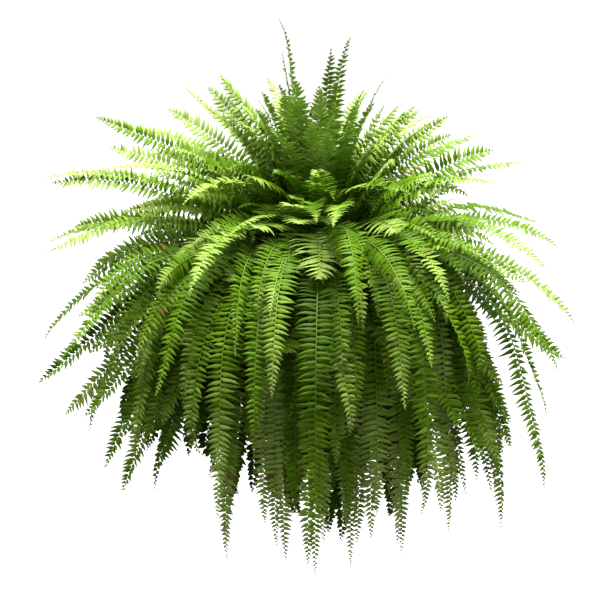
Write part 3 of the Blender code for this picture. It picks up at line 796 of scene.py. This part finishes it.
def frond_materials():
    """Upper face, under face and stalk of a living frond."""
    colours = bpy.context.scene.fern_colours
    # The ramp runs with age from the frond's base to its tip. Its two low stops are darker than old
    # leaflets' own green: painted shade near the crown, deep inside the plant.
    greens = (
        (0.0, colours.leaf_deep),
        (0.35, colours.leaf_green),
        (0.7, colours.leaf_bright),
        (1.0, colours.leaf_tip),
    )
    browns = (
        (0.0, colours.stalk_base),
        (0.2, colours.stalk),
        (0.7, colours.leaf_bright),
        (1.0, colours.leaf_tip),
    )
    glow = colours.leaf_glow
    return [
        living_leaf("sword fern leaf, upper face", greens, 0.0, glow, 0.24, 0.5, 0.12),
        living_leaf("sword fern leaf, under face", greens, 0.06, glow, 0.24, 0.6, 0.1),
        living_leaf("sword fern stalk", browns, 0.05, glow, 0.05, 0.5, 0.3),
    ]


def matter(name, scale, stops, roughness, depth, detail=4.0, shine=0.5):
    """An opaque grainy stuff, coloured and bumped by noise at a scale in bumps a metre."""
    material, output = new_material(name)
    grain = speckle(material, scale, detail)
    surface(material, output, ramp(material, grain, stops), roughness, grain, depth, shine)
    return material


def moulded_plastic(name, dark, light):
    """Moulded plastic: an even colour gone a little dusty, with a fine satin grain."""
    material, output = new_material(name)
    colour = ramp(material, speckle(material, 22.0, 5.0), ((0.3, dark), (0.75, light)))
    grain = speckle(material, 900.0, 2.0)
    rough = maths(material, "MULTIPLY_ADD", speckle(material, 60.0), 0.3, 0.3)
    surface(material, output, colour, rough, grain, 0.00008)
    return material


class FERN_PG_fronds(bpy.types.PropertyGroup):
    """Sizes of the fronds."""

    spacing: FloatProperty(
        name="Leaflet spacing",
        description="Distance along the rachis from one pair of leaflets to the next",
        default=0.0098,
        unit="LENGTH",
    )
    thickness: FloatProperty(
        name="Leaflet thickness",
        description="How thick a leaflet is",
        default=0.0003,
        unit="LENGTH",
    )
    stalk: FloatProperty(
        name="Stalk radius",
        description="Radius of the stalk where it leaves the crown",
        default=0.0016,
        unit="LENGTH",
    )


def colour_setting(name, description, colour):
    """A colour setting for the panel."""
    return FloatVectorProperty(
        name=name,
        description=description,
        subtype="COLOR",
        min=0.0,
        max=1.0,
        default=to_linear(colour),
    )


class FERN_PG_colours(bpy.types.PropertyGroup):
    """Colours of the fern and of its pot."""

    # The deep and grown leaf greens are darkened beyond the real green of old leaflets, as painted
    # shade for the inside of the plant near the crown.
    leaf_deep: colour_setting("Deep leaf", "Green of the oldest leaflets", "1E3A02")
    leaf_green: colour_setting("Green leaf", "Green of grown leaflets", "426604")
    leaf_bright: colour_setting("Bright leaf", "Green of leaflets near the tip", "648C0A")
    leaf_tip: colour_setting("Leaf tip", "Yellow green of the youngest leaflets", "A0BC58")
    leaf_glow: colour_setting("Leaf glow", "Colour of light shining through a leaflet", "90B61C")
    stalk_base: colour_setting("Stalk base", "Brown of the stalk at the crown", "4A3818")
    stalk: colour_setting("Stalk", "Colour of the bare stalk", "5E5C22")
    dry_leaf: colour_setting("Dry leaf", "Tan of a dead frond", "8A6636")
    rhizome: colour_setting("Rhizome", "Brown of the scaly crown", "6A4620")
    potting_mix: colour_setting("Potting mix", "Brown of damp peat", "2E2016")
    pot: colour_setting("Pot", "Green black of the pot and saucer", "18221A")
    hanger: colour_setting("Hanger", "Black of the hanger", "101310")


class FERN_OT_fronds(bpy.types.Operator):
    """Builds the laid-out living fronds in place of the model's plain blades"""

    bl_idname = "fern.fronds"
    bl_label = "Living fronds"

    def execute(self, context):
        materials = frond_materials()
        chance = np.random.default_rng(SEED)
        templates = {}
        for frond in laid_out("frond"):
            piece = add_fronds(frond["name"] + "_leafy", [frond], materials, templates, chance)
            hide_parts(frond["name"])
        clear_templates(templates)
        return {"FINISHED"}


class FERN_OT_fillers(bpy.types.Operator):
    """Builds the fronds that thicken the plant between the laid-out ones"""

    bl_idname = "fern.fillers"
    bl_label = "Filling fronds"

    def execute(self, context):
        materials = frond_materials()
        chance = np.random.default_rng(SEED + 1)
        templates = {}
        for spray, fronds in filler_plan(random.Random(SEED + 1)).items():
            for start in range(0, len(fronds), FRONDS_A_PIECE):
                name = f"{spray}_fronds_{start // FRONDS_A_PIECE + 1}"
                group = fronds[start : start + FRONDS_A_PIECE]
                piece = add_fronds(name, group, materials, templates, chance)
        clear_templates(templates)
        return {"FINISHED"}


class FERN_OT_old_frond(bpy.types.Operator):
    """Builds the dead frond, brown and curled up, that hangs inside the plant"""

    bl_idname = "fern.old_frond"
    bl_label = "Old frond"

    def execute(self, context):
        brown = context.scene.fern_colours.dry_leaf
        stops = ((0.25, "4E3216"), (0.5, brown), (0.8, "B08C50"))
        # Dead leaf is papery: matt, blotched and finely crinkled.
        materials = [
            matter("dried fern leaf, upper face", 180.0, stops, 0.85, 0.0004),
            matter("dried fern leaf, under face", 180.0, stops, 0.9, 0.0004),
            matter("dried fern stalk", 120.0, ((0.3, "3E2712"), (0.7, "6E4A26")), 0.7, 0.0002),
        ]
        chance = np.random.default_rng(SEED + 2)
        templates = {}
        for frond in laid_out("old_frond"):
            frond.update(curl=1.5, lift=-25.0, crumple=3.0, wobble=6.0, hook=60.0)
            piece = add_fronds(frond["name"] + "_curled", [frond], materials, templates, chance)
            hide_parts(frond["name"])
        clear_templates(templates)
        return {"FINISHED"}


class FERN_OT_runners(bpy.types.Operator):
    """Builds the thin wiry runners that trail from the crown"""

    bl_idname = "fern.runners"
    bl_label = "Runners"

    def execute(self, context):
        # A runner is wiry and furred with fine scales.
        stops = ((0.3, "5A4A24"), (0.6, "7E7434"), (0.85, "A89A58"))
        skin = matter("fern runner", 420.0, stops, 0.75, 0.0003)
        for frond in laid_out("runner"):
            frond.update(wobble=5.0, hook=50.0)
            rings = []
            for step, (point, heading, side) in enumerate(frond_line(frond, RUNNER_STEPS)):
                up = heading.cross(side)
                radius = RUNNER_RADIUS * (1.0 - 0.5 * step / RUNNER_STEPS)
                middle = point + side * (math.sin(step * RUNNER_RATE) * RUNNER_WAVE)
                rings.append([middle + (side * x + up * y) * radius for x, y in stalk_ring()])
            piece = add_piece(frond["name"] + "_wiry", tube(rings), [skin])
            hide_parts(frond["name"])
        return {"FINISHED"}


def turned(profile, steps):
    """Spins a closed (radius, z) outline about the Z axis."""
    bm = bmesh.new()
    verts = [bm.verts.new((radius, 0.0, z)) for radius, z in profile]
    edges = [bm.edges.new((a, b)) for a, b in zip(verts, verts[1:] + verts[:1])]
    bmesh.ops.spin(
        bm,
        geom=verts + edges,
        cent=(0.0, 0.0, 0.0),
        axis=(0.0, 0.0, 1.0),
        angle=math.tau,
        steps=steps,
        use_merge=True,
    )
    bmesh.ops.remove_doubles(bm, verts=bm.verts, dist=0.00001)
    bmesh.ops.recalc_face_normals(bm, faces=bm.faces)
    return bm


def roughen(verts, scale, reach):
    """Moves points up and down by noise."""
    for vert in verts:
        vert.co.z += noise.noise(vert.co * scale) * reach


def spot(chance, reach, z, lift):
    """A move to a random place on a disc."""
    azimuth = chance.uniform(0.0, 360.0)
    out = reach * math.sqrt(chance.random())
    return Matrix.Translation(around(azimuth, out, z + chance.uniform(*lift)))


def scatter(bm, chance, crumbs, radii, z, material_index):
    """Scatters small irregular lumps over a ring."""
    count, sizes = crumbs
    for _ in range(count):
        radius = math.sqrt(chance.uniform(radii[0] ** 2, radii[1] ** 2))
        azimuth = chance.uniform(0.0, 360.0)
        place = Matrix.Translation(around(azimuth, radius, z + chance.uniform(-0.001, 0.002)))
        angle = chance.uniform(0.0, math.pi)
        turn = Matrix.Rotation(angle, 4, Vector((chance.random(), 1.0, chance.random())))
        size = chance.uniform(*sizes)
        high, deep = chance.uniform(0.5, 0.9), chance.uniform(0.4, 0.8)
        shape = Matrix.Diagonal((size, size * high, size * deep, 1.0))
        made = bmesh.ops.create_icosphere(
            bm, subdivisions=1, radius=1.0, matrix=place @ turn @ shape
        )
        for vert in made["verts"]:
            vert.co += noise.noise_vector(vert.co * 900.0) * size * 0.3
            for face in vert.link_faces:
                face.material_index = material_index


def flat_top(radius, z, rings):
    """The outline of a flat top from its rim inwards, in rings that noise can lift."""
    count, spacing = rings
    return [(radius - step * spacing, z) for step in range(count)]


class FERN_OT_crown(bpy.types.Operator):
    """Builds the scaly rhizomes of the crown and the crumbly potting mix round it"""

    bl_idname = "fern.crown"
    bl_label = "Crown and potting mix"

    def execute(self, context):
        colours = context.scene.fern_colours
        chance = random.Random(SEED + 3)
        # Without a seed of its own, noise_vector differs from run to run.
        noise.seed_set(SEED)
        low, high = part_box("fern_crown")
        radius = high.x
        top = high.z - 0.001
        rings = flat_top(radius - CROWN_SHOULDER, top, CROWN_RINGS)
        shoulder = (radius, top - CROWN_SHOULDER)
        profile = [(0.0, low.z), (radius, low.z), shoulder, *rings, (0.0, top)]
        bm = turned(profile, 64)
        roughen([vert for vert in bm.verts if vert.co.z > low.z + 0.001], 90.0, 0.003)
        # Creeping rhizomes lie over one another and bristle with pointed scales.
        for _ in range(RHIZOMES):
            place = spot(chance, radius * 0.93, top, (-0.002, 0.002))
            turn = Matrix.Rotation(chance.uniform(0.0, math.tau), 4, "Z")
            shape = Matrix.Diagonal((chance.uniform(0.009, 0.016), 0.0045, 0.004, 1.0))
            made = bmesh.ops.create_icosphere(
                bm, subdivisions=2, radius=1.0, matrix=place @ turn @ shape
            )
            for vert in made["verts"]:
                vert.co += noise.noise_vector(vert.co * 260.0) * 0.0012
        for _ in range(SCALES):
            place = spot(chance, radius * 0.95, top, (0.001, 0.004))
            angle = chance.uniform(0.2, 1.2)
            axis = Vector((chance.uniform(-1.0, 1.0), chance.uniform(-1.0, 1.0), 0.1))
            bmesh.ops.create_cone(
                bm,
                cap_ends=True,
                segments=5,
                radius1=0.0012,
                radius2=0.0,
                depth=chance.uniform(0.005, 0.008),
                matrix=place @ Matrix.Rotation(angle, 4, axis),
            )
        stops = ((0.25, "2C1A0C"), (0.5, colours.rhizome), (0.8, "9C7440"))
        # Rhizomes are woody and furred with rusty scales.
        scaly = matter("scaly fern rhizome", 300.0, stops, 0.85, 0.0006)
        piece = add_piece("crown_rhizomes", bm, [scaly])
        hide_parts("fern_crown")

        low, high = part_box("potting_mix")
        radius = high.x
        top = high.z - 0.001
        rings = flat_top(radius, top, MIX_RINGS)
        profile = [(0.0, low.z), (MIX_FOOT_RADIUS, low.z), *rings, (0.0, top)]
        bm = turned(profile, 72)
        roughen([vert for vert in bm.verts if vert.co.z > high.z - 0.002], 120.0, 0.0025)
        bare = (radius * 0.84, radius * 0.98)
        scatter(bm, chance, PEAT_CRUMBS, bare, high.z, 0)
        scatter(bm, chance, PERLITE_CRUMBS, bare, high.z + 0.001, 1)
        peat = ((0.25, "140D08"), (0.55, colours.potting_mix), (0.85, "57402A"))
        # Damp peat is fibrous and matt; the white crumbs are perlite.
        materials = [
            matter("peat potting mix", 260.0, peat, 0.95, 0.0012, 6.0, 0.3),
            matter("perlite", 500.0, ((0.3, "C9C6BC"), (0.7, "F0EEE8")), 0.9, 0.0004),
        ]
        piece = add_piece("potting_mix_crumbs", bm, materials)
        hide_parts("potting_mix")
        return {"FINISHED"}


class FERN_OT_pot(bpy.types.Operator):
    """Finishes the model's own pot, saucer and hanger in moulded plastic"""

    bl_idname = "fern.pot"
    bl_label = "Pot, saucer and hanger"

    def execute(self, context):
        colours = context.scene.fern_colours
        pot = moulded_plastic("moulded green black plastic", colours.pot, "2B372B")
        hanger = moulded_plastic("moulded black plastic", colours.hanger, "22251F")
        for name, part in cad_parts.items():
            finish = pot if name in ("hanging_pot", "drip_saucer") else hanger
            if finish is pot or name.startswith("hanger_"):
                for slot in part.material_slots:
                    slot.material = finish
        return {"FINISHED"}


class FERN_OT_stage(bpy.types.Operator):
    """Sets the pale floor, the soft studio light and the camera"""

    bl_idname = "fern.stage"
    bl_label = "Stage"

    def execute(self, context):
        scene = context.scene
        bm = bmesh.new()
        level = Matrix.Translation((0.0, 0.0, FLOOR_HEIGHT))
        bmesh.ops.create_circle(bm, cap_ends=True, segments=96, radius=FLOOR_RADIUS, matrix=level)
        mesh = bpy.data.meshes.new("floor")
        bm.to_mesh(mesh)
        bm.free()
        floor = bpy.data.objects.new("floor", mesh)
        scene.collection.objects.link(floor)
        # Matt white paper, lit from below as well so that it stays pale.
        material, output = new_material("matt white paper floor")
        ray = add_node(material, "ShaderNodeLightPath").outputs["Is Camera Ray"]
        paper = blend(material, ray, "585858", "F4F4F4")
        skin = surface(material, output, paper, 0.9)
        skin.inputs["Emission Color"].default_value = (1.0, 1.0, 1.0, 1.0)
        glow = maths(material, "MULTIPLY", ray, 0.75)
        material.node_tree.links.new(glow, skin.inputs["Emission Strength"])
        mesh.materials.append(material)
        # The backdrop looks white, and lights the plant more from above than from the side.
        world = bpy.data.worlds.new("studio")
        world.use_nodes = True
        way = add_node(world, "ShaderNodeTexCoord").outputs["Generated"]
        height = add_node(world, "ShaderNodeSeparateXYZ", Vector=way).outputs["Z"]
        limits = dict(From_Min=0.0, From_Max=0.9, To_Min=0.24, To_Max=1.25)
        dome = add_node(world, "ShaderNodeMapRange", Value=height, **limits).outputs[0]
        ray = add_node(world, "ShaderNodeLightPath").outputs["Is Camera Ray"]
        kind = {"data_type": "FLOAT"}
        strength = add_node(world, "ShaderNodeMix", kind, i0=ray, i2=dome, i3=1.05)
        backdrop = world.node_tree.nodes["Background"]
        backdrop.inputs["Color"].default_value = paint("FFFFFF")
        world.node_tree.links.new(strength.outputs[0], backdrop.inputs["Strength"])
        scene.world = world
        light = bpy.data.lights.new("softbox", "AREA")
        light.shape = "DISK"
        light.size = SOFTBOX_SIZE
        light.energy = SOFTBOX_WATTS
        softbox = bpy.data.objects.new("softbox", light)
        softbox.location = SOFTBOX_PLACE
        aim = Vector(SOFTBOX_AIM) - softbox.location
        softbox.rotation_euler = aim.to_track_quat("-Z", "Y").to_euler()
        scene.collection.objects.link(softbox)
        data = bpy.data.cameras.new("camera")
        data.lens = CAMERA_LENS
        camera = bpy.data.objects.new("camera", data)
        target = Vector(CAMERA_TARGET)
        tilt = math.radians(CAMERA_HEIGHT_DEG)
        way = Vector((0.0, -math.cos(tilt), math.sin(tilt)))
        camera.location = target + way * CAMERA_DISTANCE
        camera.rotation_euler = (target - camera.location).to_track_quat("-Z", "Y").to_euler()
        scene.collection.objects.link(camera)
        scene.camera = camera
        scene.view_settings.view_transform = "Standard"
        return {"FINISHED"}


OPERATORS = (
    FERN_OT_fronds,
    FERN_OT_fillers,
    FERN_OT_old_frond,
    FERN_OT_runners,
    FERN_OT_crown,
    FERN_OT_pot,
    FERN_OT_stage,
)


class FERN_PT_builders(bpy.types.Panel):
    """Lists the fern's settings and its builders"""

    bl_idname = "FERN_PT_builders"
    bl_label = "Hanging sword fern"
    bl_space_type = "VIEW_3D"
    bl_region_type = "UI"
    bl_category = "Fern"

    def draw(self, context):
        for settings in (context.scene.fern_fronds, context.scene.fern_colours):
            for name in type(settings).__annotations__:
                self.layout.prop(settings, name)
        for operator in OPERATORS:
            self.layout.operator(operator.bl_idname)


CLASSES = (FERN_PG_fronds, FERN_PG_colours, *OPERATORS, FERN_PT_builders)


def register():
    for cls in CLASSES:
        bpy.utils.register_class(cls)
    bpy.types.Scene.fern_fronds = PointerProperty(type=FERN_PG_fronds)
    bpy.types.Scene.fern_colours = PointerProperty(type=FERN_PG_colours)


def unregister():
    del bpy.types.Scene.fern_colours
    del bpy.types.Scene.fern_fronds
    for cls in reversed(CLASSES):
        bpy.utils.unregister_class(cls)


def main():
    register()
    bpy.ops.fern.fronds()
    bpy.ops.fern.fillers()
    bpy.ops.fern.old_frond()
    bpy.ops.fern.runners()
    bpy.ops.fern.crown()
    bpy.ops.fern.pot()
    bpy.ops.fern.stage()


if __name__ == "__main__":
    main()
